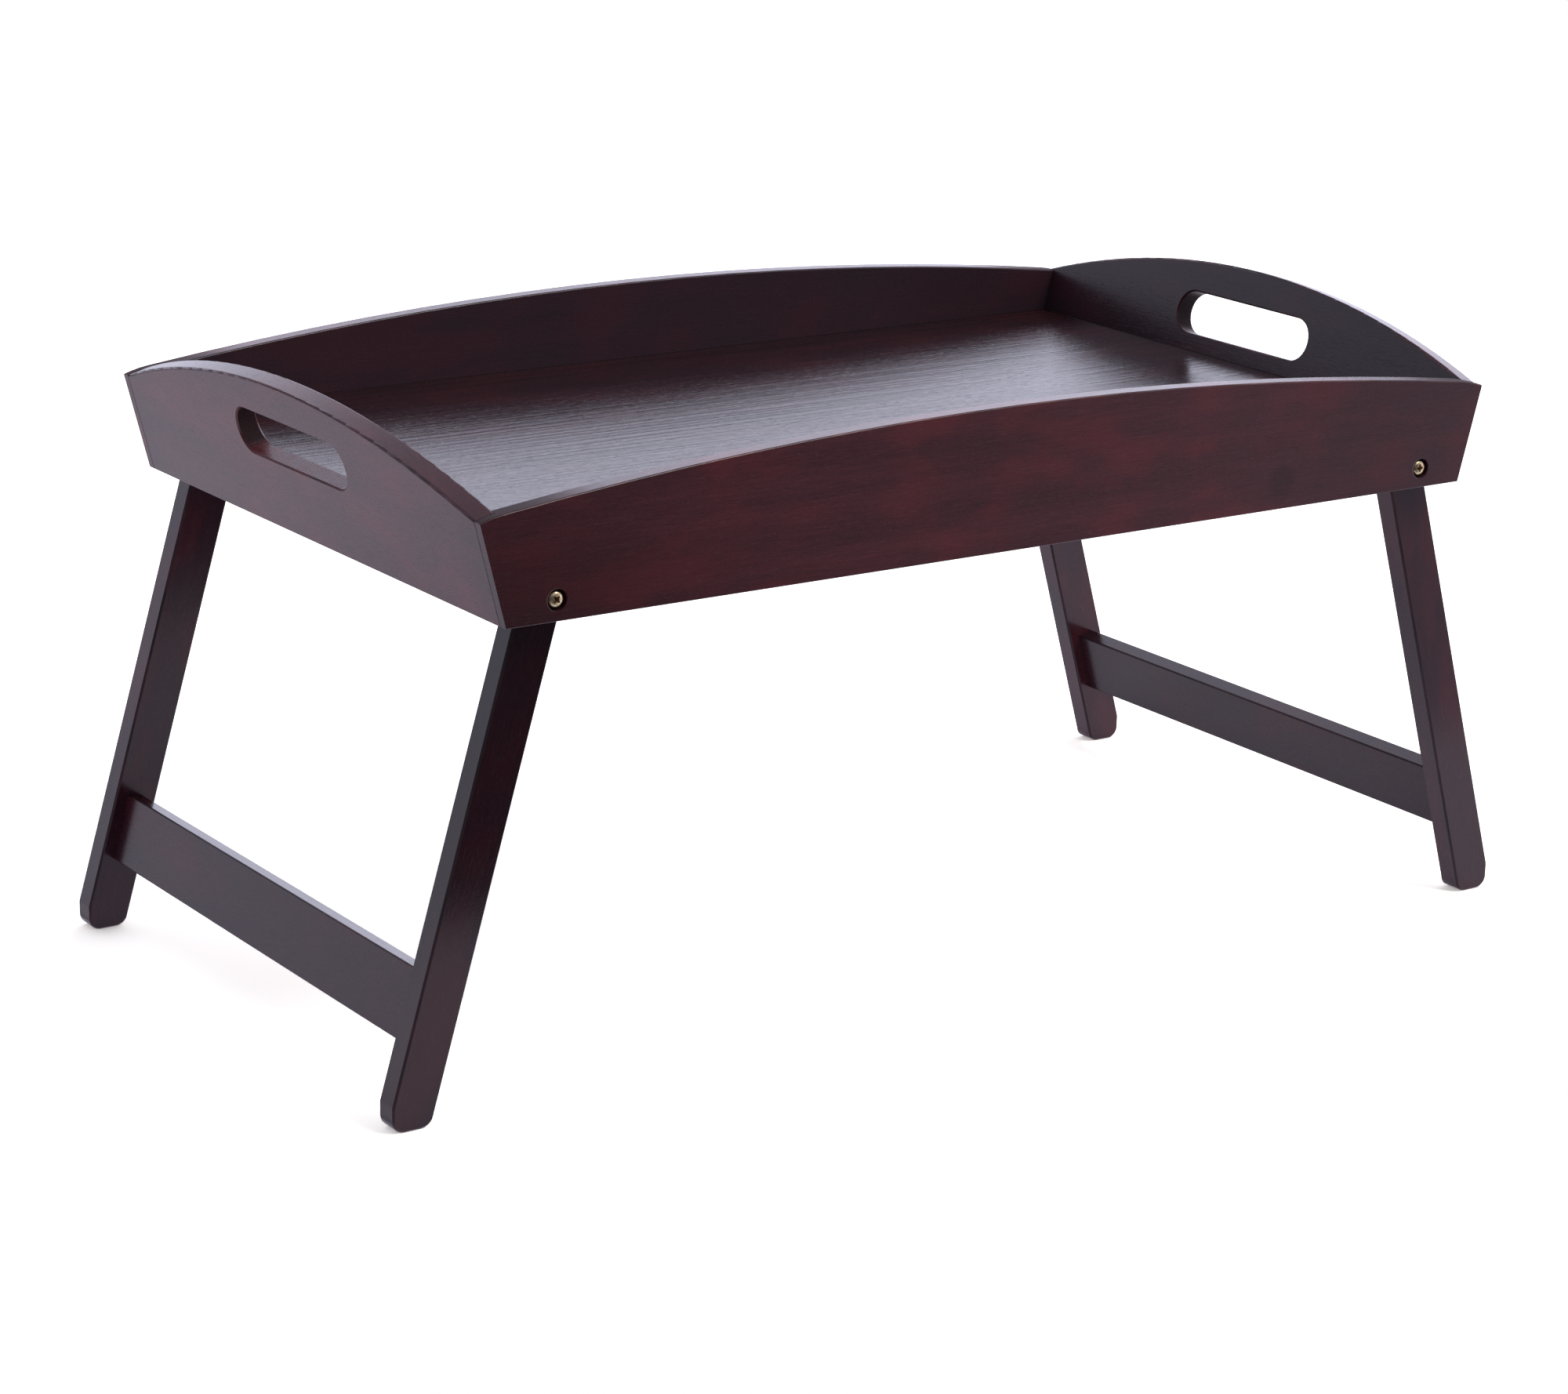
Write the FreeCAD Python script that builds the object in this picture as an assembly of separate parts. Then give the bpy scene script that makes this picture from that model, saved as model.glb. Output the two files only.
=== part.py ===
import FreeCAD, Part
import math
import os
from FreeCAD import Vector

# Bed tray table of stained wood, in millimetres. The tray stands on two leg frames that fold
# flat under it. X runs along the tray, Y from front to back, Z up from the floor. The origin
# lies on the floor under the middle of the tray.

# --- The tray --------------------------------------------------------------------------------
lap_height = 236.3           # floor to the lower edge of the boards
tray_length = 600.0          # over the rim corners of the long boards
tray_width = 363.0           # over the outer faces of the long boards
corner_height = 50.2         # height of the boards at the rim corners
handle_tilt = 14.9           # outward lean of the handle boards, degrees from upright

long_thickness = 10.0        # front and back boards
long_crown_rise = 21.8       # middle of the arched edge above its ends
shoulder_drop = 1.4          # how far the shoulders fall below the run of the main arch
shoulder_radius = 60.0
long_arris = 1.0             # rounding of the arched edge
lower_arris = 0.6            # rounding of the outer face's lower edge

handle_thickness = 11.0
handle_crown_rise = 28.4     # measured up the slope of the board
handle_arris = 1.2           # rounding of the arched edge
slot_straight = 86.4         # hand hole: distance between the centres of its round ends
slot_radius = 11.7
slot_height = 49.5           # centre of the hand hole above the lower edge, up the slope
slot_arris = 0.8             # bevel round the hand hole

rabbet_lip = 5.0             # end grain of the long board left beside the handle board

# --- The panel in its grooves ----------------------------------------------------------------
panel_thickness = 4.0
panel_seat = 26.3            # underside of the panel above the lower edge of the boards
groove_depth = 5.0
groove_slack = 0.4           # gap at the panel's edge, so that the sheet can move
groove_fit = 0.1             # gap above the panel in the groove
rest_margin = 0.5            # things on the panel stand this far in from the boards

# --- The leg frames --------------------------------------------------------------------------
leg_width = 22.8
leg_thickness = 13.5
leg_splay = 16.1             # outward lean of the open legs, degrees from upright
leg_arris = 1.0              # bevel round the leg's flat sides
leg_gap = 2.4                # between the leg and the long board
stop_gap = 0.3               # the open leg rests on the handle board's lower inner edge
pivot_rise = 10.2            # pivot above the lower edge of the boards

stretcher_height = 35.0
stretcher_thickness = 10.0
stretcher_arris = 1.0        # rounding of the rail's long edges
stretcher_above_foot = 37.0  # lower edge of the stretcher above the tip of the foot
tenon_width = 27.0
tenon_thickness = 6.0
tenon_length = 9.0
glue_gap = 0.1               # all round the tenon
glue_well = 0.5              # at the bottom of the mortise

# --- The pivot screws and washers ------------------------------------------------------------
shank_radius = 2.0
head_radius = 4.0
head_height = 3.1
head_rim = 1.6               # height of the head's upright rim
crown_radius = 2.9           # flat top of the head, inside its bevel
recess_span = 4.6            # cross recess, tip to tip
recess_width = 1.0
recess_depth = 1.8
screw_in_leg = 10.0
pilot_extra = 1.0            # the pilot hole runs on past the screw's end
shank_fit = 0.08             # running clearance of the shank in the board
counterbore_radius = 5.1
counterbore_depth = 3.5
head_float = 0.2             # running gap under the screw head
washer_radius = 5.5
washer_fit = 0.2             # washer bore round the shank
washer_float = 0.25          # running gap between the washer and the board

# --- What follows from those sizes -----------------------------------------------------------
tilt = math.radians(handle_tilt)
splay = math.radians(leg_splay)
half_width = tray_width / 2
half_top = tray_length / 2
half_bottom = half_top - corner_height * math.tan(tilt)
corner_up_slope = corner_height / math.cos(tilt)
inner_face = half_width - long_thickness
rabbet_face = half_width - rabbet_lip
panel_low = lap_height + panel_seat
pivot_height = lap_height + pivot_rise
leg_radius = leg_width / 2
leg_outer = inner_face - leg_gap
leg_inner = leg_outer - leg_thickness
washer_thickness = leg_gap - washer_float
counterbore_floor = half_width - counterbore_depth

# The open leg's outer edge stands stop_gap away from the lower inner edge of the handle board.
stop_edge = half_bottom - handle_thickness / math.cos(tilt)
stop_reach = leg_radius + stop_gap + pivot_rise * math.sin(splay)
pivot_x = stop_edge - stop_reach / math.cos(splay)

# The foot's round end touches the floor, which sets the leg's length between its centres.
leg_reach = (pivot_height - leg_radius) / math.cos(splay)
stretcher_low = leg_reach + leg_radius - stretcher_above_foot
stretcher_middle = stretcher_low - stretcher_height / 2

Y_AXIS = Vector(0, 1, 0)
Z_AXIS = Vector(0, 0, 1)
ORIGIN = Vector(0, 0, 0)
MIRROR_X = Vector(1, 0, 0)
MIRROR_Y = Vector(0, 1, 0)
CLOSE = 1e-3                 # nearer than this counts as touching


def line(a, b):
    return Part.LineSegment(a, b).toShape()


def arc(a, b, c):
    return Part.Arc(a, b, c).toShape()


def block(low, high):
    size = high - low
    return Part.makeBox(size.x, size.y, size.z, low)


def on_circle(centre, radius, toward):
    """Point of a circle on the ray from its centre through another point."""
    direction = (toward - centre).normalize()
    return centre + direction * radius


def rounded(solid, radius, chosen):
    """Round the edges that a test picks out."""
    return solid.makeFillet(radius, [edge for edge in solid.Edges if chosen(edge)])


def bevelled(solid, size, chosen):
    """Bevel the edges that a test picks out."""
    return solid.makeChamfer(size, [edge for edge in solid.Edges if chosen(edge)])


def lies_at(edge, axis, value):
    """True where the whole edge lies in one plane across the named axis."""
    return all(abs(getattr(vertex, axis) - value) < CLOSE for vertex in edge.Vertexes)


# --- Long boards -----------------------------------------------------------------------------
def arched_edge():
    """The arch of a long board from its right end to its left end: one shallow arc that turns
    down over a tighter shoulder at each end, tangent to it. The shoulders fall with the tops
    of the leaning handle boards, which end flush with them."""
    main_rise = long_crown_rise - shoulder_drop
    main_radius = (half_top ** 2 + main_rise ** 2) / (2 * main_rise)
    crown = Vector(0, 0, corner_height + long_crown_rise)
    centre = crown - Z_AXIS * main_radius
    end = Vector(half_top, 0, corner_height)
    # The shoulder's centre lies shoulder_radius from the end of the board and
    # main_radius - shoulder_radius from the centre of the arch.
    span = end - centre
    inner = main_radius - shoulder_radius
    along = (span.Length ** 2 + inner ** 2 - shoulder_radius ** 2) / (2 * span.Length)
    across = math.sqrt(inner ** 2 - along ** 2)
    unit = Vector(span).normalize()
    side = Vector(-unit.z, 0, unit.x)
    shoulder = centre + unit * along + side * across
    blend = on_circle(centre, main_radius, shoulder)
    middle = on_circle(shoulder, shoulder_radius, (blend + end) * 0.5)
    right = [end, middle, blend]
    left = [Vector(-point.x, 0, point.z) for point in reversed(right)]
    return [arc(*right), arc(blend, crown, left[0]), arc(*left)]


def long_board_blank():
    low_left = Vector(-half_bottom, 0, 0)
    low_right = Vector(half_bottom, 0, 0)
    high_left = Vector(-half_top, 0, corner_height)
    high_right = Vector(half_top, 0, corner_height)
    edges = [line(low_left, low_right), line(low_right, high_right)]
    edges += arched_edge()
    edges.append(line(high_left, low_left))
    face = Part.Face(Part.Wire(edges))
    board = face.extrude(Y_AXIS * long_thickness)
    board = rounded(board, long_arris, on_the_arch)
    return rounded(board, lower_arris,
                   lambda edge: lies_at(edge, "Y", 0) and lies_at(edge, "Z", 0))


def on_the_arch(edge):
    """True for the edges of either face that run along the arched edge."""
    ends = edge.Vertexes
    level = abs(ends[0].Y - ends[-1].Y) < CLOSE
    return level and min(end.Z for end in ends) > corner_height - CLOSE


def end_rabbet():
    """Prism that takes away the inner part of the board where the handle board seats."""
    rise = corner_height + long_crown_rise
    inner_low = half_bottom - handle_thickness / math.cos(tilt)
    corners = [Vector(inner_low - rise * math.tan(tilt), 0, -rise),
               Vector(half_top + rise, 0, -rise),
               Vector(half_top + rise, 0, rise),
               Vector(inner_low + rise * math.tan(tilt), 0, rise)]
    face = Part.Face(Part.makePolygon(corners + corners[:1]))
    prism = face.extrude(Y_AXIS * long_thickness)
    prism.translate(Y_AXIS * rabbet_lip)
    return prism


def make_front_board():
    board = long_board_blank()
    rabbet = end_rabbet()
    groove = block(Vector(-half_top, long_thickness - groove_depth, panel_seat),
                   Vector(half_top, long_thickness, panel_seat + panel_thickness + groove_fit))
    tools = [rabbet, rabbet.mirror(ORIGIN, MIRROR_X), groove]
    for side in (-1, 1):
        pivot = Vector(side * pivot_x, 0, pivot_rise)
        tools.append(Part.makeCylinder(shank_radius + shank_fit, long_thickness, pivot, Y_AXIS))
        tools.append(Part.makeCylinder(counterbore_radius, counterbore_depth, pivot, Y_AXIS))
    board = board.cut(tools)
    board.translate(Vector(0, -half_width, lap_height))
    return board


# --- Handle boards: drawn upright with the outer face in the plane X = 0, then leaned out -----
def lean_on_slope(shape):
    shape.rotate(ORIGIN, Y_AXIS, handle_tilt)
    shape.translate(Vector(half_bottom, 0, lap_height))
    return shape


def handle_blank():
    """The board runs from rabbet to rabbet. Its arch ends at the height of the rim corners."""
    crown = Vector(0, 0, corner_up_slope + handle_crown_rise)
    left = Vector(0, -rabbet_face, corner_up_slope)
    right = Vector(0, rabbet_face, corner_up_slope)
    under = handle_thickness * math.tan(tilt)
    low_left = Vector(0, -rabbet_face, -under)
    low_right = Vector(0, rabbet_face, -under)
    edges = [line(low_left, low_right), line(low_right, right),
             arc(right, crown, left), line(left, low_left)]
    board = Part.Face(Part.Wire(edges)).extrude(Vector(-handle_thickness, 0, 0))
    return rounded(board, handle_arris, lambda edge: edge.BoundBox.ZMax > crown.z - CLOSE)


def hand_hole():
    half = slot_straight / 2
    middle = Part.makeBox(handle_thickness, slot_straight, 2 * slot_radius,
                          Vector(-handle_thickness, -half, slot_height - slot_radius))
    ends = [Part.makeCylinder(slot_radius, handle_thickness,
                              Vector(-handle_thickness, side * half, slot_height), Vector(1, 0, 0))
            for side in (-1, 1)]
    return middle.fuse(ends).removeSplitter()


def make_right_handle_board():
    board = handle_blank().cut(hand_hole())
    reach = slot_straight / 2 + slot_radius

    def rims_the_hole(edge):
        flat = lies_at(edge, "X", 0) or lies_at(edge, "X", -handle_thickness)
        return flat and all(abs(end.Y) < reach and end.Z > slot_height - slot_radius - CLOSE
                            for end in edge.Vertexes)
    board = bevelled(board, slot_arris, rims_the_hole)
    board = lean_on_slope(board)
    room = tray_length
    under_cut = block(Vector(-room, -room, -room), Vector(room, room, lap_height))
    groove_end = panel_half_length() + groove_slack
    groove = block(Vector(0, -room, panel_low),
                   Vector(groove_end, room, panel_low + panel_thickness + groove_fit))
    return board.cut([under_cut, groove])


# --- Panel -----------------------------------------------------------------------------------
def panel_half_length():
    """The panel reaches groove_depth - groove_slack into the tilted boards."""
    middle = panel_seat + panel_thickness / 2
    board_inside = stop_edge + middle * math.tan(tilt)
    return board_inside + groove_depth - groove_slack


def make_bottom_panel():
    """A plain sheet. Its top face is divided near the foot of the boards, because only the
    part between them can carry things; the rest lies in the grooves."""
    half_x = panel_half_length()
    half_y = inner_face + groove_depth - groove_slack
    top = panel_low + panel_thickness
    sheet = block(Vector(-half_x, -half_y, panel_low), Vector(half_x, half_y, top))
    free_x = stop_edge + (top - lap_height) * math.tan(tilt) - rest_margin
    free_y = inner_face - rest_margin
    free = Part.makePlane(2 * free_x, 2 * free_y, Vector(-free_x, -free_y, top))
    divided = sheet.generalFuse([free])[1][0]
    return divided[0]


# --- Leg frames: built upright about the pivot, then leaned out ------------------------------
def lean_out(shape):
    shape.rotate(ORIGIN, Y_AXIS, -leg_splay)
    shape.translate(Vector(pivot_x, 0, pivot_height))
    return shape


def make_back_right_leg():
    """A flat bar with full round ends, bored for the screw and mortised for the stretcher."""
    left = -leg_radius
    right = leg_radius
    foot = -leg_reach
    edges = [arc(Vector(right, 0, 0), Vector(0, 0, right), Vector(left, 0, 0)),
             line(Vector(left, 0, 0), Vector(left, 0, foot)),
             arc(Vector(left, 0, foot), Vector(0, 0, foot - leg_radius), Vector(right, 0, foot)),
             line(Vector(right, 0, foot), Vector(right, 0, 0))]
    leg = Part.Face(Part.Wire(edges)).extrude(Y_AXIS * leg_thickness)
    leg = bevelled(leg, leg_arris, lambda edge: lies_at(edge, "Y", 0)
                   or lies_at(edge, "Y", leg_thickness))
    leg.translate(Y_AXIS * leg_inner)
    pilot = Part.makeCylinder(shank_radius, screw_in_leg + pilot_extra,
                              Vector(0, leg_outer, 0), -Y_AXIS)
    mortise = tenon(glue_gap, glue_well)
    return lean_out(leg.cut([pilot, mortise]))


def tenon(margin, extra):
    """The stretcher's tenon at the back end, or with a margin all round, its mortise."""
    half_x = tenon_thickness / 2 + margin
    half_z = tenon_width / 2 + margin
    low = Vector(-half_x, leg_inner, -stretcher_middle - half_z)
    high = Vector(half_x, leg_inner + tenon_length + extra, -stretcher_middle + half_z)
    return block(low, high)


def make_right_stretcher():
    half_x = stretcher_thickness / 2
    low = Vector(-half_x, -leg_inner, -stretcher_low)
    high = Vector(half_x, leg_inner, stretcher_height - stretcher_low)
    rail = block(low, high)
    rail = rounded(rail, stretcher_arris, lambda edge: edge.Length > 2 * leg_inner - CLOSE)
    ends = tenon(0, 0)
    return lean_out(rail.fuse([ends, ends.mirror(ORIGIN, MIRROR_Y)]))


# --- Pivot screws and washers ----------------------------------------------------------------
def make_back_right_screw():
    """Pan-head screw along +Y, its head outward, in the counterbore of the back board."""
    seat = counterbore_floor + head_float
    tip = leg_outer - screw_in_leg
    rim = seat + head_rim
    top = seat + head_height
    profile = [Vector(0, tip, 0), Vector(shank_radius, tip, 0), Vector(shank_radius, seat, 0),
               Vector(head_radius, seat, 0), Vector(head_radius, rim, 0),
               Vector(crown_radius, top, 0), Vector(0, top, 0), Vector(0, tip, 0)]
    screw = Part.Face(Part.makePolygon(profile)).revolve(ORIGIN, Y_AXIS, 360)
    half_span = recess_span / 2
    half_slit = recess_width / 2
    low = top - recess_depth
    slits = [block(Vector(-half_span, low, -half_slit), Vector(half_span, top, half_slit)),
             block(Vector(-half_slit, low, -half_span), Vector(half_slit, top, half_span))]
    return lean_out(screw.cut(slits))


def make_back_right_washer():
    ring = Part.makeCylinder(washer_radius, washer_thickness, Vector(0, leg_outer, 0), Y_AXIS)
    bore = Part.makeCylinder(shank_radius + washer_fit, washer_thickness,
                             Vector(0, leg_outer, 0), Y_AXIS)
    return lean_out(ring.cut(bore))


# --- Assembly --------------------------------------------------------------------------------
def write(name, shape):
    shape.exportStep("parts/" + name + ".step")


def write_left_and_right(name, right):
    """Write the right-hand piece and its mirror image."""
    write("right_" + name, right)
    write("left_" + name, right.mirror(ORIGIN, MIRROR_X))


def write_at_four_corners(name, back_right):
    """Write the piece at the back right and its mirror images at the other three pivots."""
    front_right = back_right.mirror(ORIGIN, MIRROR_Y)
    write("back_right_" + name, back_right)
    write("front_right_" + name, front_right)
    write("back_left_" + name, back_right.mirror(ORIGIN, MIRROR_X))
    write("front_left_" + name, front_right.mirror(ORIGIN, MIRROR_X))


os.makedirs("parts", exist_ok=True)
front_board = make_front_board()
write("front_board", front_board)
write("back_board", front_board.mirror(ORIGIN, MIRROR_Y))
write_left_and_right("handle_board", make_right_handle_board())
write("bottom_panel", make_bottom_panel())
write_left_and_right("stretcher", make_right_stretcher())
write_at_four_corners("leg", make_back_right_leg())
write_at_four_corners("screw", make_back_right_screw())
write_at_four_corners("washer", make_back_right_washer())
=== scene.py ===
import math

import bpy
from mathutils import Matrix, Vector


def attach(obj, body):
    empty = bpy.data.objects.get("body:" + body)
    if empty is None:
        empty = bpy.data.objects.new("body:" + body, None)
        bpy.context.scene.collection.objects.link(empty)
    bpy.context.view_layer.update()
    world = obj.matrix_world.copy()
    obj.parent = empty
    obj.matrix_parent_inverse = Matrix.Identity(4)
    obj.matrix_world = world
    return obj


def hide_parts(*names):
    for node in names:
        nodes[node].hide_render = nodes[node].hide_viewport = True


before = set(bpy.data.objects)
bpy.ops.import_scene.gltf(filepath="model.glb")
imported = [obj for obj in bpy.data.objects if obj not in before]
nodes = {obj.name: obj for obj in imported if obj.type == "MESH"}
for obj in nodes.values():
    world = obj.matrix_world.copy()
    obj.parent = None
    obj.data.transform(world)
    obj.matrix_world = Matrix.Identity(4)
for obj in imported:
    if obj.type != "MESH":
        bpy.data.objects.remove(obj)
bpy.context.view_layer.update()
bpy.ops.object.select_all(action="DESELECT")


# The photographer's camera: a long lens, low and to the left of the table's front, rolled a
# little, and framed so that the table stands in the middle of a 2000 by 1778 picture.
AZIMUTH, ELEVATION, ROLL = math.radians(-34.936), math.radians(16.438), math.radians(1.270)
AIM = Vector((0.019096, 0.0, 0.112762))
DISTANCE = 2.211262
FOCAL_PIXELS, CENTRE_X, CENTRE_Y = 5325.667, 1062.724, 889.186
IMAGE_WIDTH, IMAGE_HEIGHT, SENSOR = 2000, 1778, 36.0

back = Vector((math.sin(AZIMUTH) * math.cos(ELEVATION),
               -math.cos(AZIMUTH) * math.cos(ELEVATION),
               math.sin(ELEVATION)))
right = Vector((math.cos(AZIMUTH), math.sin(AZIMUTH), 0.0))
up = back.cross(right)
rolled_right = right * math.cos(ROLL) + up * math.sin(ROLL)
rolled_up = up * math.cos(ROLL) - right * math.sin(ROLL)

camera = bpy.data.objects.new("camera", bpy.data.cameras.new("camera"))
bpy.context.scene.collection.objects.link(camera)
bpy.context.scene.camera = camera
camera.matrix_world = (Matrix.Translation(AIM + back * DISTANCE)
                       @ Matrix((rolled_right, rolled_up, back)).transposed().to_4x4())
camera.data.sensor_width = SENSOR
camera.data.lens = FOCAL_PIXELS * SENSOR / IMAGE_WIDTH
camera.data.shift_x = (IMAGE_WIDTH / 2 - CENTRE_X) / IMAGE_WIDTH
camera.data.shift_y = (CENTRE_Y - IMAGE_HEIGHT / 2) / IMAGE_WIDTH
camera.data.clip_start, camera.data.clip_end = 0.05, 50.0

bpy.context.scene.view_settings.view_transform = "Standard"


# Node materials are written with these two classes. A Field is a socket that plain arithmetic
# works on, and a Finish is one material, with a method that adds any other node.
class Field:
    """A number, colour or vector that varies over a surface."""

    def __init__(self, finish, socket):
        self.finish, self.socket = finish, socket

    def maths(self, operation, *others, clamp=False):
        return self.finish.node("Math", {"operation": operation, "use_clamp": clamp},
                                [self, *others])

    def __add__(self, other):
        return self.maths("ADD", other)

    def __sub__(self, other):
        return self.maths("SUBTRACT", other)

    def __mul__(self, other):
        return self.maths("MULTIPLY", other)

    def __rsub__(self, other):
        return self.finish.node("Math", {"operation": "SUBTRACT"}, [other, self])

    __radd__ = __add__
    __rmul__ = __mul__

    def __abs__(self):
        return self.maths("ABSOLUTE")

    def between(self, low, high):
        """0 below low and 1 above high, with a smooth step from one to the other."""
        return self.finish.node(
            "MapRange", {"interpolation_type": "SMOOTHSTEP"},
            {"Value": self, "From Min": low, "From Max": high, "To Min": 0.0, "To Max": 1.0})


class Finish:
    """One material. Its nodes read the coordinates of the piece at rest."""

    def __init__(self, name, tree=None):
        if tree is None:
            self.material = bpy.data.materials.new(name)
            self.material.use_nodes = True
            tree = self.material.node_tree
        self.tree = tree

    def node(self, kind, settings, inputs, output=0):
        """Add a node, set it up, feed its inputs with values or Fields, and give an output."""
        made = self.tree.nodes.new("ShaderNode" + kind)
        for name, value in settings.items():
            setattr(made, name, value)
        for place, value in inputs.items() if isinstance(inputs, dict) else enumerate(inputs):
            if isinstance(value, Field):
                self.tree.links.new(value.socket, made.inputs[place])
            else:
                made.inputs[place].default_value = value
        return Field(self, made.outputs[output])

    def place(self):
        return self.node("TexCoord", {}, {}, "Object")

    def facing(self):
        return self.node("TexCoord", {}, {}, "Normal")

    def along(self, vector, direction):
        """How far a position or a normal goes in a direction."""
        return self.node("VectorMath", {"operation": "DOT_PRODUCT"}, [vector, direction],
                         "Value")

    def noise(self, where, scale, detail, roughness=0.5):
        return self.node("TexNoise", {},
                         {"Vector": where, "Scale": scale, "Detail": detail,
                          "Roughness": roughness})

    def mix(self, share, first, second):
        """From the first colour to the second, as the share goes from 0 to 1."""
        return self.node("Mix", {"data_type": "RGBA"}, {0: share, 6: first, 7: second}, 2)

    def feed(self, **links):
        """Link Fields to the surface shader; underscores stand for the spaces in a name."""
        shader = self.tree.nodes["Principled BSDF"]
        for name, field in links.items():
            self.tree.links.new(field.socket, shader.inputs[name.replace("_", " ")])

    def hold(self, **values):
        """Set numbers that are the same all over on the surface shader's own sockets."""
        shader = self.tree.nodes["Principled BSDF"]
        for name, value in values.items():
            shader.inputs[name.replace("_", " ")].default_value = value


# The studio: a white sweep behind and beside the table, brightest towards a window on its right,
# and the dark room behind the photographer, which is what the front board's lacquer reflects.
# The pane is the window's bright band, low on the right. The camera itself sees plain white.
world = bpy.data.worlds.new("studio")
world.use_nodes = True
bpy.context.scene.world = world
studio = Finish("studio", world.node_tree)
heading = studio.node("TexCoord", {}, {}, "Generated")
height = studio.along(heading, (0.0, 0.0, 1.0))
toward_room = studio.along(heading, (-0.50, -0.85, 0.0)).between(0.08, 0.50)
room = toward_room * (1 - height.between(0.20, 0.60))
rightward = studio.along(heading, (0.80, 0.60, 0.0))
sweep = 0.42 + 1.10 * rightward.between(-0.50, 0.95) + 0.40 * rightward.between(0.90, 0.99)
low_band = height.between(0.26, 0.34) * (1 - height.between(0.40, 0.60))
pane = rightward.between(0.80, 0.92) * low_band
level = (sweep + 0.80 * pane) * (1 - 0.55 * height.between(0.30, 0.80)) * (1 - 0.96 * room)
seen = studio.node("LightPath", {}, {}, "Is Camera Ray")
background = world.node_tree.nodes["Background"]
sweep_white = studio.mix(seen, (0.88, 0.90, 1.09, 1.0), (1.0, 1.0, 1.0, 1.0))
world.node_tree.links.new(sweep_white.socket, background.inputs["Color"])
strength = level * (1 - seen) + seen
world.node_tree.links.new(strength.socket, background.inputs["Strength"])


def soft_lamp(name, at, aim, size, power):
    lamp = bpy.data.lights.new(name, "AREA")
    lamp.shape, lamp.size, lamp.energy = "DISK", size, power
    holder = bpy.data.objects.new(name, lamp)
    bpy.context.scene.collection.objects.link(holder)
    holder.location = at
    holder.rotation_mode = "QUATERNION"
    holder.rotation_quaternion = (Vector(aim) - Vector(at)).to_track_quat("-Z", "Y")


soft_lamp("key_lamp", (0.9, -1.4, 2.2), (0.0, 0.0, 0.2), 1.0, 18.0)

# The white table that it stands on ends a little way in front of the feet, where the dark room
# starts. To the camera it is white, and only the close shadow round each foot darkens it.
TABLE_LENGTH, TABLE_DEPTH, TABLE_MIDDLE_Y = 6.0, 3.42, 1.30

bpy.ops.mesh.primitive_plane_add(size=1.0, location=(0.0, 0.0, 0.0))
floor = bpy.context.object
floor.name = "floor"
bpy.ops.object.mode_set(mode="EDIT")
bpy.ops.transform.resize(value=(TABLE_LENGTH, TABLE_DEPTH, 1.0))
bpy.ops.transform.translate(value=(0.0, TABLE_MIDDLE_Y, 0.0))
bpy.ops.mesh.subdivide(number_cuts=3)
bpy.ops.object.mode_set(mode="OBJECT")
bpy.ops.object.select_all(action="DESELECT")

table_top = Finish("white_table_top")
table_top.hold(Base_Color=(0.93, 0.93, 0.94, 1.0), Roughness=0.9, Specular_IOR_Level=0.1,
               Emission_Color=(0.88, 0.90, 1.09, 1.0), Emission_Strength=0.30)
table_nodes = table_top.tree.nodes
matt = Field(table_top, table_nodes["Principled BSDF"].outputs[0])
paper = table_top.node("BsdfDiffuse", {}, {"Color": (2.65, 2.56, 2.16, 1.0)})
glow = table_top.node("Emission", {}, {"Color": (1.0, 1.0, 1.0, 1.0), "Strength": 0.28})
lit_paper = table_top.node("AddShader", {}, [paper, glow])
seen = table_top.node("LightPath", {}, {}, "Is Camera Ray")
surface = table_top.node("MixShader", {}, [seen, matt, lit_paper])
table_top.tree.links.new(surface.socket, table_nodes["Material Output"].inputs["Surface"])
floor.data.materials.append(table_top.material)


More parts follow.
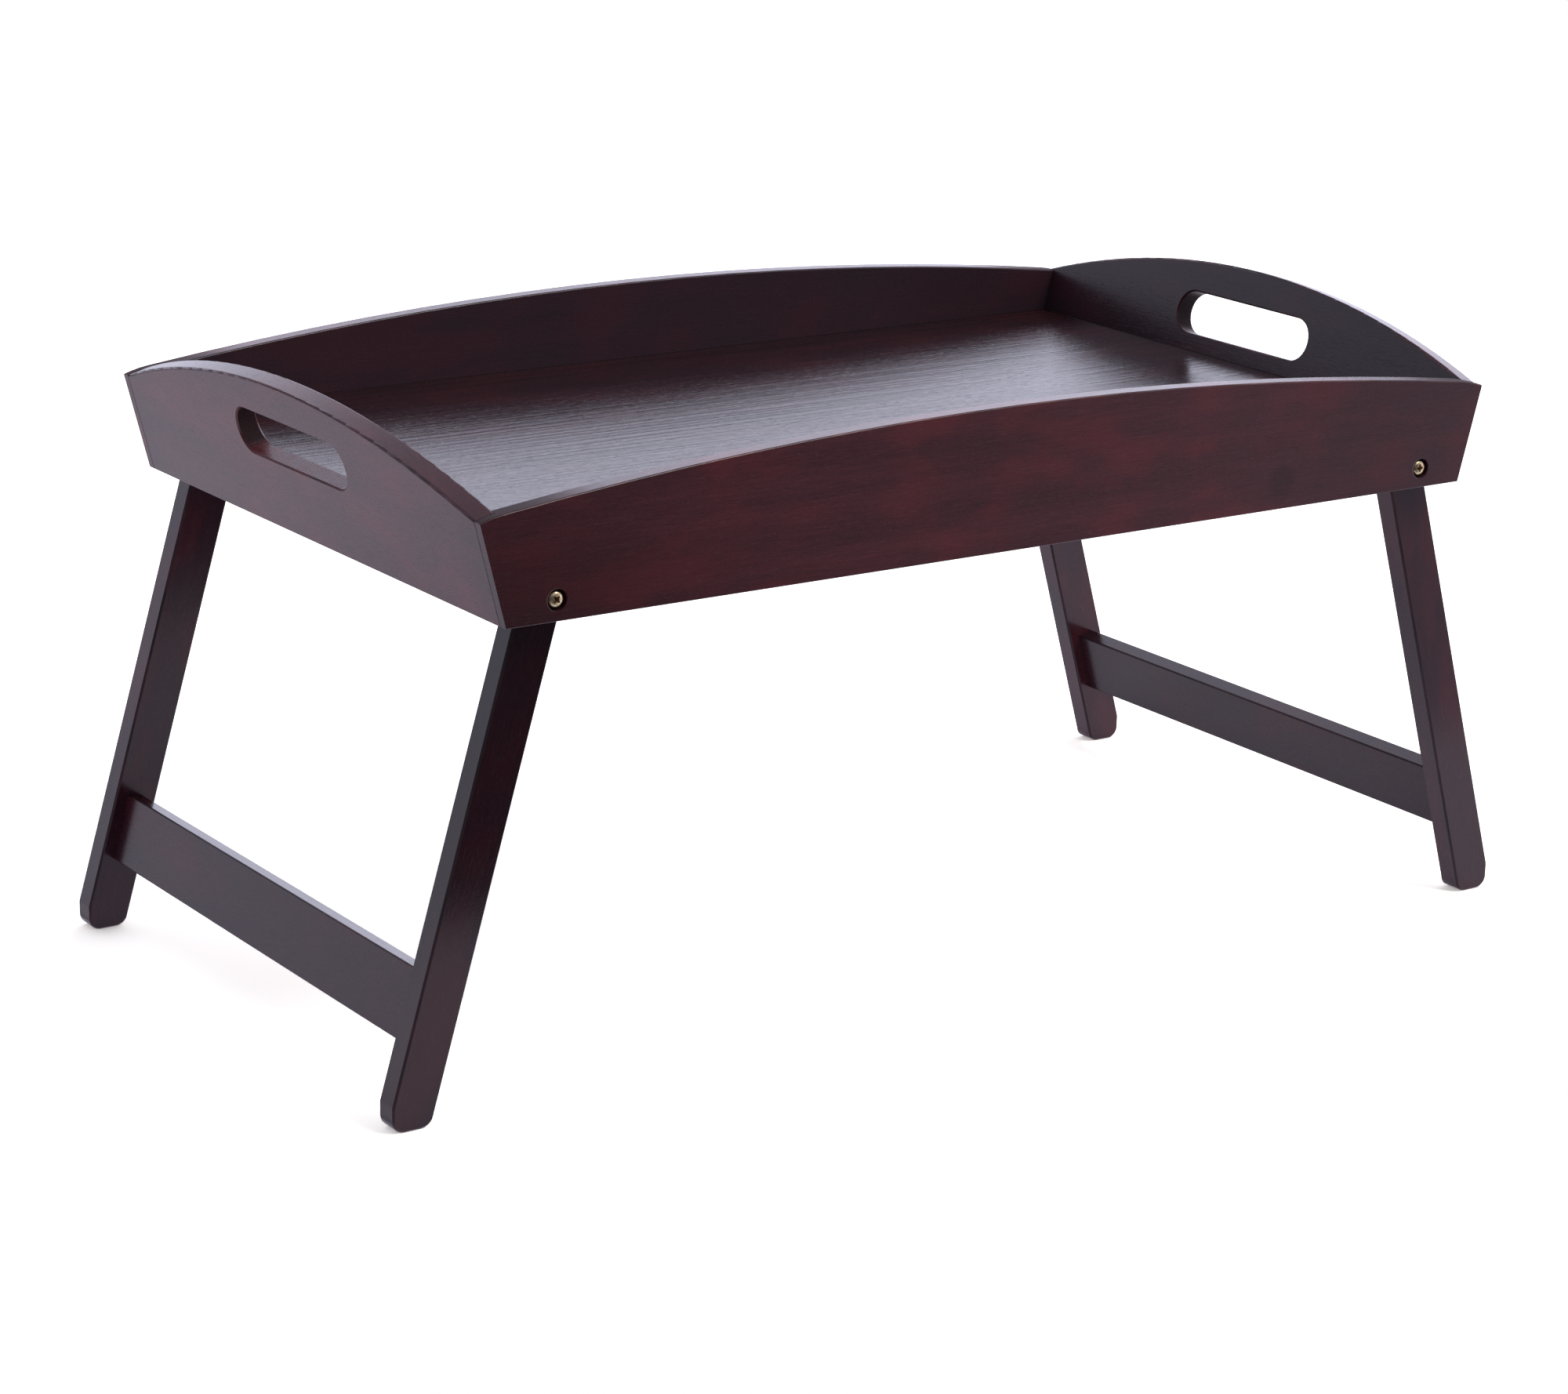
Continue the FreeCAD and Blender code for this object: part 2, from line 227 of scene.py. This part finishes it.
# The front and back boards: long boards of stained wood with an arched edge, grooved for the
# panel and rabbeted at their ends, where their end grain shows beside the handle boards. The
# stain is uneven and redder where the wood took it well. Along the arrises it is mixed in streaks
# toward a paler colour, partly real wear and partly a painted highlight of the rounded edge, and
# the rest of each arris is painted darker, as painted shade. All the other wooden pieces use this
# class too.
class StainedWood(Finish):
    """Straight-grained wood under a dark red-brown stain and a satin lacquer. The argument after
    gloss is the share of streaks along the arrises that go to a paler colour, partly real wear
    and partly painted highlight; the rest of each arris is painted darker, as painted shade, the
    less so the larger that share. Figure is how strongly the grain shows."""

    FLECK = (0.24, 0.10, 0.09, 1.0)
    # A paler colour for the arrises: partly real wear, partly a painted highlight of their
    # rounding.
    ARRIS_WEAR_AND_HIGHLIGHT = (0.36, 0.15, 0.12, 1.0)
    # Inside the tray: a greyer lilac, painted shade that takes out red and painted sheen for the
    # haze that the inner faces show.
    INSIDE_SHADE_AND_SHEEN = (0.034, 0.036, 0.048, 1.0)

    def __init__(self, name, grain, cross, seed, dark, light, red, gloss, arris_wear_and_highlight=0.45,
                 figure=1.0):
        super().__init__(name)
        grain, cross = Vector(grain).normalized(), Vector(cross).normalized()
        side = grain.cross(cross)
        place, facing = self.place(), self.facing()
        self.seed, self.dark = seed, dark
        self.across = self.along(place, (1.0, 0.0, 0.0))
        self.depth = self.along(place, (0.0, 1.0, 0.0))
        self.height = self.along(place, (0.0, 0.0, 1.0))
        self.lengthwise = self.along(place, grain)
        self.upward = self.along(place, cross)
        self.through = self.along(place, side)
        self.end_facing = abs(self.along(facing, grain))
        self.side_facing = abs(self.along(facing, side))

        bands = self.streaks(260, 12, 0.0, 3.0)
        fibres = self.streaks(26, 1.1, 3.0, 3.0, 0.6)
        pores = self.streaks(5, 0.5, 5.0, 1.0).between(0.50, 0.80)
        flecks = self.streaks(6, 0.7, 11.0, 1.0).between(0.62, 0.76)
        blotches = self.streaks(60, 30, 9.0, 3.0).between(0.42, 0.68)
        peel = self.noise(place, 1500.0, 2.0)

        mottle = self.streaks(1.7, 0.6, 30.0, 2.0)
        tone = (0.5 + 0.9 * figure * (fibres - 0.5) + 1.0 * figure * (bands - 0.5)
                + 0.9 * (mottle - 0.5))
        self.stain = self.mix(tone.maths("ADD", 0.0, clamp=True), dark, light)
        self.stain = self.mix(0.50 * blotches, self.stain, red)
        self.stain = self.mix(0.20 * figure * flecks, self.stain, self.FLECK)
        self.roughness = gloss + 0.08 * (fibres - 0.5) + 0.08 * pores
        self.relief = figure * (0.45 * fibres + 0.25 * bands - 0.25 * pores) + 0.25 * peel
        self.darken(0.35 * figure * pores)

        ends = self.end_facing.between(0.60, 0.85)
        self.roughness = self.roughness + 0.03 * ends
        self.relief = self.relief + 0.2 * ends * self.noise(place, 1600.0, 2.0)

        # Along the arrises: streaks mixed toward a paler colour, partly real wear and partly
        # painted highlight, and the rest painted darker, as painted shade for the dark room the
        # rounding reflects.
        arris = (self.side_facing.between(0.30, 0.55) * (1 - self.side_facing.between(0.90, 0.98))
                 * (1 - self.end_facing.between(0.30, 0.60)))
        worn_and_highlit = arris * self.streaks(30, 8, 15.0, 3.0).between(0.35, 0.65)
        self.stain = self.mix(arris_wear_and_highlight * worn_and_highlit, self.stain, self.ARRIS_WEAR_AND_HIGHLIGHT)
        self.darken((0.9 - arris_wear_and_highlight) * arris * (1 - worn_and_highlit))
        self.roughness = self.roughness + (0.45 - arris_wear_and_highlight) * arris

    def streaks(self, long_mm, wide_mm, shift, detail, roughness=0.5):
        """Noise drawn out along the grain, in streaks about this long and this wide."""
        where = self.node("CombineXYZ", {}, [
            self.lengthwise * (1000.0 / long_mm) + (self.seed * 7.3 + shift),
            self.upward * (1000.0 / wide_mm), self.through * (1000.0 / wide_mm)])
        return self.noise(where, 1.0, detail, roughness)

    def darken(self, share):
        """Take the stain a share of the way to a colour well below its darkest."""
        deep = tuple(0.35 * part for part in self.dark[:3]) + (1.0,)
        self.stain = self.mix(share, self.stain, deep)

    def paint_inside_shade_and_sheen(self, inside):
        """Mix the stain toward a greyer lilac inside the tray: painted shade and painted sheen.
        """
        self.stain = self.mix(0.60 * inside, self.stain, self.INSIDE_SHADE_AND_SHEEN)

    def distance(self, x, z):
        """How far a point of a long board is from an axis that crosses the board."""
        return ((self.across - x).maths("POWER", 2.0)
                + (self.height - z).maths("POWER", 2.0)).maths("SQRT")

    def lacquer(self, depth=0.35):
        bump = self.node("Bump", {}, {"Strength": depth, "Distance": 0.0002,
                                      "Height": self.relief}, "Normal")
        self.feed(Base_Color=self.stain, Roughness=self.roughness, Normal=bump)
        self.hold(IOR=1.5)
        return self.material


BOARD_DARK = (0.052, 0.0150, 0.0180, 1.0)
BOARD_LIGHT = (0.140, 0.0320, 0.0385, 1.0)
BOARD_RED = (0.205, 0.0270, 0.0315, 1.0)
PIVOT_X, PIVOT_Z = 0.260138, 0.2465
COUNTERBORE_RADIUS = 0.0051
INNER_FACE = 0.1715           # of a long board, measured from the middle
SEAM = 0.1765                 # where the handle boards' ends meet the lips of the rabbets
KNOT_X, KNOT_Z = 0.166, 0.251

for side, seed in (("front", 1), ("back", 2)):
    wood = StainedWood(side + "_board_wood", (1, 0, 0), (0, 0, 1), seed,
                       BOARD_DARK, BOARD_LIGHT, BOARD_RED, 0.25)
    # The counterbores are painted a little darker inside, as painted shade in the recess, and
    # their lips are eased by the lacquer.
    for pivot_x in (-PIVOT_X, PIVOT_X):
        reach = wood.distance(pivot_x, PIVOT_Z)
        wood.darken(0.20 * (1 - reach.between(COUNTERBORE_RADIUS - 0.0001,
                                              COUNTERBORE_RADIUS + 0.0001)))
        wood.relief = wood.relief + 1.5 * reach.between(COUNTERBORE_RADIUS,
                                                        COUNTERBORE_RADIUS + 0.0004)
    # On the shoulders, where the arch runs out at the corners, the top is painted darker, a
    # painted reflection of the dark room, and its lacquer is rougher.
    shoulder = (abs(wood.across).between(0.225, 0.285)
                * (1 - wood.side_facing.between(0.3, 0.6))
                * (1 - wood.end_facing.between(0.5, 0.8)))
    wood.darken(0.6 * shoulder)
    wood.roughness = wood.roughness + 0.45 * shoulder
    # Painted shade and sheen on the faces inside the tray.
    wood.paint_inside_shade_and_sheen(1 - abs(wood.depth).between(INNER_FACE + 0.0010, INNER_FACE + 0.0018))
    # The front board is darker at its ends, most of all low on the left, and has a faint knot.
    if side == "front":
        wood.darken(0.35 * wood.across.between(0.13, 0.24))
        low_left = ((1 - wood.across.between(-0.27, -0.08))
                    * (1 - wood.height.between(0.25, 0.285)))
        wood.darken(0.35 * low_left + 0.20 * (1 - wood.across.between(-0.27, -0.18)))
        knot = wood.distance(KNOT_X, KNOT_Z) + 0.004 * (wood.streaks(9, 9, 20.0, 2.0) - 0.5)
        wood.darken(0.40 * (1 - knot.between(0.004, 0.012)))
    nodes[side + "_board"].material_slots[0].material = wood.lacquer()


# The handle boards lean outward, and each has an arched edge and a routed hand hole. Their
# grain runs across the tray. The router left fine ribs along the floor of the hole, and open
# end grain at its round ends.
SLOPE = math.radians(14.9)
HOLE_HEIGHT = 0.35156         # of the hole's middle, measured up the board from the origin
HOLE_REACH, HOLE_RISE = 0.057, 0.0130     # from its middle to just past its ends and its edges
RIB_PITCH = 0.002

for side, lean, seed in (("left", -1, 3), ("right", 1, 4)):
    wood = StainedWood(side + "_handle_wood", (0, 1, 0),
                       (lean * math.sin(SLOPE), 0, math.cos(SLOPE)), seed,
                       BOARD_DARK, BOARD_LIGHT, BOARD_RED, 0.23, arris_wear_and_highlight=0.05)
    hole_wall = ((1 - wood.side_facing.between(0.35, 0.65))
                 * (1 - abs(wood.depth).between(HOLE_REACH, HOLE_REACH + 0.0010))
                 * (1 - abs(wood.upward - HOLE_HEIGHT).between(HOLE_RISE, HOLE_RISE + 0.0005)))
    ribs = (wood.depth * (2 * math.pi / RIB_PITCH)).maths("SINE")
    torn = wood.streaks(6, 1.5, 25.0, 2.0).between(0.45, 0.65)
    wood.relief = wood.relief + (1.3 - 0.7 * torn) * hole_wall * ribs
    round_end = hole_wall * wood.end_facing.between(0.30, 0.75)
    wood.relief = wood.relief + 2.5 * round_end * wood.noise(wood.place(), 1300.0, 2.0)
    wood.roughness = wood.roughness + 0.10 * hole_wall + 0.45 * round_end
    wood.darken(0.55 * hole_wall * torn)
    wood.darken(0.90 * round_end)
    # A fine dark joint line shows where the board's ends meet the lips of the rabbets, and the
    # last
    # 25 mm before it are painted darker, as painted shade where the boards meet.
    joint = abs(wood.depth).between(SEAM - 0.0008, SEAM - 0.0003)
    shade_beside_joint = abs(wood.depth).between(0.150, 0.175) * (1 - joint)
    wood.darken(0.95 * joint + 0.30 * shade_beside_joint)
    wood.roughness = wood.roughness + 0.60 * joint
    inward = wood.along(wood.facing(), (-lean * math.cos(SLOPE), 0, math.sin(SLOPE)))
    # Painted shade and sheen on the faces inside the tray.
    wood.paint_inside_shade_and_sheen(inward.between(0.90, 0.98))
    nodes[side + "_handle_board"].material_slots[0].material = wood.lacquer()


# The bottom panel is a thin sheet of veneered ply that floats in the boards' grooves. Its
# grain runs the long way and its lacquer is glossy. At the walls its lacquer is rougher where it
# has pooled, and a line there is painted darker, as painted shade in the corner.
# Its broad grain lines are wide enough to show from the camera's low angle.
END_WALL = 0.2826             # the handle boards' inner faces at the panel, from the middle

wood = StainedWood("panel_wood", (1, 0, 0), (0, 1, 0), 5, (0.022, 0.0100, 0.0125, 1.0),
                   (0.058, 0.0210, 0.0260, 1.0), (0.080, 0.0190, 0.0225, 1.0), 0.19)
beside_ends = abs(wood.across).between(END_WALL - 0.0026, END_WALL)
beside_boards = abs(wood.depth).between(INNER_FACE - 0.0025, INNER_FACE - 0.0003)
wall_line = beside_ends.maths("MAXIMUM", beside_boards)
grain_lines = wood.streaks(320, 4.0, 40.0, 3.0, 0.6)
wood.darken(0.50 * grain_lines.between(0.52, 0.66))
wood.relief = wood.relief + 2.2 * grain_lines
wood.roughness = wood.roughness + 0.12 * (grain_lines - 0.5)
# Painted shade in the corner along the walls, on rougher pooled lacquer.
wood.darken(0.60 * wall_line)
wood.roughness = wood.roughness + 0.25 * wall_line
nodes["bottom_panel"].material_slots[0].material = wood.lacquer(0.45)


# The legs are flat bars of the same wood, grain lengthwise, that lean outward when open. The top
# is round about its pivot. The foot is squarer than a half round: its sole is flat for 8 mm, and
# both its corners are rounded. The near left leg is darker all over, and painted darker still
# towards its top, as painted shade under the board.
SPLAY = math.radians(16.1)
HALF_LEG = 0.0114
FOOT_X = 0.327996             # the centre of the foot's rounding, HALF_LEG above the floor
LEG_DARK = (0.025, 0.0075, 0.0125, 1.0)
LEG_LIGHT = (0.062, 0.0160, 0.0250, 1.0)
LEG_RED = (0.110, 0.0160, 0.0210, 1.0)

# The sole's outline, as the lines that touch it: each has the direction it faces, outward along
# the floor and up, and its distance from the centre of the foot's rounding. Each corner is an
# arc with its own radius, whose centre lies this far aside and below.
OUTER_CORNER = (1, 0.00628, 0.0051, 0.0051)
INNER_CORNER = (-1, 0.00698, 0.0035, 0.0044)

sole = [(math.cos(SPLAY), math.sin(SPLAY), HALF_LEG),
        (-math.cos(SPLAY), -math.sin(SPLAY), HALF_LEG)]
for toward, corner_radius, aside, below in (OUTER_CORNER, INNER_CORNER):
    for turn in range(0, 91, 5):
        sideways, downward = math.cos(math.radians(turn)), math.sin(math.radians(turn))
        sole.append((toward * sideways, -downward,
                     aside * sideways + below * downward + corner_radius))


def leg_with_sole(node, side):
    """A copy of a leg's mesh, with its round foot drawn out to the sole's outline."""
    mesh = nodes[node].data.copy()
    leg = bpy.data.objects.new(node + "_with_sole", mesh)
    bpy.context.scene.collection.objects.link(leg)
    leg.select_set(True)
    bpy.context.view_layer.objects.active = leg
    bpy.ops.mesh.customdata_custom_splitnormals_clear()
    bpy.ops.object.mode_set(mode="EDIT")
    bpy.ops.mesh.select_all(action="SELECT")
    bpy.ops.mesh.remove_doubles(threshold=0.000002)
    bpy.ops.object.mode_set(mode="OBJECT")
    for vertex in mesh.vertices:
        outward, upward = side * vertex.co.x - FOOT_X, vertex.co.z - HALF_LEG
        if outward * math.sin(SPLAY) - upward * math.cos(SPLAY) > 0.0001:
            radius = math.hypot(outward, upward)
            faced = [((outward * x + upward * z) / radius, distance) for x, z, distance in sole]
            reach = min(distance / share for share, distance in faced if share > 0.05)
            grown = (reach - (HALF_LEG - radius)) / radius
            vertex.co.x = side * (FOOT_X + outward * grown)
            vertex.co.z = HALF_LEG + upward * grown
    bpy.ops.object.shade_smooth_by_angle(angle=math.radians(30))
    leg.select_set(False)
    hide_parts(node)
    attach(leg, "left_leg_frame" if side < 0 else "right_leg_frame")
    return leg


for side, lean in (("left", -1), ("right", 1)):
    for depth, seed in (("front", 6), ("back", 7)):
        wood = StainedWood(f"{depth}_{side}_leg_wood",
                           (lean * math.sin(SPLAY), 0, -math.cos(SPLAY)), (0, 1, 0),
                           seed + 2 * lean, LEG_DARK, LEG_LIGHT, LEG_RED, 0.16, arris_wear_and_highlight=0.0,
                           figure=0.4)
        # The near left leg: darker all over, and painted shade towards its top, under the board.
        if (depth, side) == ("front", "left"):
            wood.darken(0.45 + 0.20 * wood.height.between(0.05, 0.13))
        leg = leg_with_sole(f"{depth}_{side}_leg", lean)
        leg.data.materials.clear()
        leg.data.materials.append(wood.lacquer(0.40))


# The stretchers are rails tenoned between the two legs of a frame, with grain lengthwise. The
# right one is painted darker, as painted shade for the shaded floor that it reflects, under a
# duller lacquer.
for side, lean, seed in (("left", -1, 11), ("right", 1, 12)):
    wood = StainedWood(side + "_stretcher_wood", (0, 1, 0),
                       (lean * math.sin(SPLAY), 0, -math.cos(SPLAY)), seed,
                       LEG_DARK, LEG_LIGHT, LEG_RED, 0.22, arris_wear_and_highlight=0.1, figure=0.6)
    # Painted shade: the right stretcher is darkened for the shaded floor that it reflects.
    if side == "right":
        wood.darken(0.35)
    nodes[side + "_stretcher"].material_slots[0].material = wood.lacquer()
    if side == "right":
        wood.hold(IOR=1.42)


# The spacer washers are plain steel, with a fine uneven sheen, and sit between leg and board.
steel = Finish("washer_steel")
turning = steel.noise(steel.place(), 3000.0, 3.0)
steel.feed(Base_Color=steel.mix(turning, (0.42, 0.42, 0.44, 1.0), (0.62, 0.62, 0.65, 1.0)),
           Roughness=0.30 + 0.15 * turning)
steel.hold(Metallic=1.0)
for name in ("front_left", "back_left", "front_right", "back_right"):
    nodes[name + "_washer"].material_slots[0].material = steel.material


# The pivot screws: brass-plated pan heads with a cross recess, sunk in the boards'
# counterbores. Each is turned to an angle of its own.
brass = Finish("screw_brass")
tarnish = brass.noise(brass.place(), 1400.0, 3.0)
brass.feed(Base_Color=brass.mix(tarnish.between(0.35, 0.70), (1.00, 0.90, 0.62, 1.0),
                                (0.66, 0.38, 0.15, 1.0)),
           Roughness=0.28 + 0.20 * tarnish)
brass.hold(Metallic=1.0)

# The recess is a darker brown brass, painted shade in the cross recess, mottled with noise.
recess_brass = Finish("recess_brass")
recess_shade = recess_brass.noise(recess_brass.place(), 2500.0, 3.0)
recess_brass.feed(Base_Color=recess_brass.mix(recess_shade, (0.26, 0.13, 0.06, 1.0),
                                              (0.60, 0.38, 0.18, 1.0)),
                  Roughness=0.35 + 0.25 * recess_shade)
recess_brass.hold(Metallic=1.0)

MM = 0.001
HEAD_RADIUS, HEAD_BASE = 4.0, 178.2
HEAD_PROFILE = ((4.0, 1.25), (3.93, 1.70), (3.72, 2.12), (3.34, 2.50), (2.75, 2.80),
                (1.95, 3.00), (1.0, 3.09), (0.3, 3.1))     # radius and height above the base
SHANK_RADIUS, SHANK_END = 2.0, 159.1         # the end's distance from the middle
TIP_LENGTH, TIP_SHARE = 1.0, 0.45            # the tip's length, and its width beside the shank's
# The recess is two crossed wings, narrower at the bottom, and a conical pit in the middle. The
# heights of their middles are measured from the base of the head.
WING_LENGTH, WING_WIDTH, WING_DEPTH, WING_MIDDLE = 4.6, 1.0, 2.0, 2.3
LENGTH_TAPER, WIDTH_TAPER = 0.45, 0.75
PIT_BOTTOM_RADIUS, PIT_MOUTH_RADIUS, PIT_DEPTH, PIT_MIDDLE = 0.35, 1.5, 2.2, 2.2


def cut(screw, cutter):
    """Take the cutter out of the screw, and give the new faces the cutter's material."""
    bpy.context.view_layer.objects.active = screw
    hollow = screw.modifiers.new("recess", "BOOLEAN")
    hollow.operation, hollow.solver, hollow.object = "DIFFERENCE", "EXACT", cutter
    hollow.material_mode = "TRANSFER"
    bpy.ops.object.modifier_apply(modifier=hollow.name)
    bpy.data.objects.remove(cutter)


def pan_head_screw(name, side, depth, turn):
    """One screw, pointing inward from the front (depth -1) or the back (depth 1)."""
    bpy.ops.object.select_all(action="DESELECT")
    bpy.ops.mesh.primitive_cylinder_add(vertices=64, radius=HEAD_RADIUS * MM,
                                        depth=HEAD_PROFILE[0][1] * MM,
                                        location=(0, 0, HEAD_PROFILE[0][1] * MM / 2))
    screw = bpy.context.object
    screw.name = name
    bpy.ops.object.transform_apply(location=True, rotation=False, scale=False)
    bpy.ops.object.mode_set(mode="EDIT")
    bpy.ops.mesh.select_mode(type="FACE")
    bpy.ops.mesh.select_all(action="DESELECT")
    bpy.ops.object.mode_set(mode="OBJECT")
    for face in screw.data.polygons:
        face.select = face.normal.z > 0.9
    bpy.ops.object.mode_set(mode="EDIT")
    for (radius, height), (new_radius, new_height) in zip(HEAD_PROFILE, HEAD_PROFILE[1:]):
        bpy.ops.mesh.extrude_region_move(
            TRANSFORM_OT_translate={"value": (0, 0, (new_height - height) * MM)})
        shrink = new_radius / radius
        bpy.ops.transform.resize(value=(shrink, shrink, 1.0))
    bpy.ops.mesh.select_all(action="DESELECT")
    bpy.ops.object.mode_set(mode="OBJECT")
    for face in screw.data.polygons:
        face.select = face.normal.z < -0.9
    bpy.ops.object.mode_set(mode="EDIT")
    bpy.ops.mesh.inset(thickness=(HEAD_RADIUS - SHANK_RADIUS) * MM, depth=0.0)
    bpy.ops.mesh.extrude_region_move(
        TRANSFORM_OT_translate={"value": (0, 0, -(HEAD_BASE - SHANK_END - TIP_LENGTH) * MM)})
    bpy.ops.mesh.extrude_region_move(TRANSFORM_OT_translate={"value": (0, 0, -TIP_LENGTH * MM)})
    bpy.ops.transform.resize(value=(TIP_SHARE, TIP_SHARE, 1.0))
    bpy.ops.object.mode_set(mode="OBJECT")
    screw.data.materials.append(brass.material)
    screw.data.materials.append(recess_brass.material)

    for wing in (0, 1):
        bpy.ops.object.select_all(action="DESELECT")
        bpy.ops.mesh.primitive_cube_add(size=1.0, location=(0, 0, WING_MIDDLE * MM),
                                        scale=(WING_LENGTH * MM, WING_WIDTH * MM,
                                               WING_DEPTH * MM),
                                        rotation=(0, 0, turn + wing * math.pi / 2))
        cutter = bpy.context.object
        cutter.data.materials.append(recess_brass.material)
        for vertex in cutter.data.vertices:
            if vertex.co.z < 0:
                vertex.co.x *= LENGTH_TAPER
                vertex.co.y *= WIDTH_TAPER
        cut(screw, cutter)
    bpy.ops.object.select_all(action="DESELECT")
    bpy.ops.mesh.primitive_cone_add(vertices=24, radius1=PIT_BOTTOM_RADIUS * MM,
                                    radius2=PIT_MOUTH_RADIUS * MM, depth=PIT_DEPTH * MM,
                                    location=(0, 0, PIT_MIDDLE * MM))
    cutter = bpy.context.object
    cutter.data.materials.append(recess_brass.material)
    cut(screw, cutter)

    bpy.ops.object.select_all(action="DESELECT")
    screw.select_set(True)
    bpy.context.view_layer.objects.active = screw
    screw.matrix_world = (
        Matrix.Translation((side * PIVOT_X, depth * HEAD_BASE * MM, PIVOT_Z))
        @ Matrix.Rotation(-depth * math.pi / 2, 4, "X"))
    bpy.ops.object.transform_apply(location=True, rotation=True, scale=True)
    bpy.ops.object.shade_smooth_by_angle(angle=math.radians(32))
    bpy.ops.object.select_all(action="DESELECT")
    return screw


for place_name, side, depth, turn in (("front_left", -1, -1, 43), ("back_left", -1, 1, 12),
                                      ("front_right", 1, -1, 2), ("back_right", 1, 1, 71)):
    screw = pan_head_screw(place_name + "_pan_head_screw", side, depth, math.radians(turn))
    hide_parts(place_name + "_screw")
    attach(screw, "left_leg_frame" if side < 0 else "right_leg_frame")
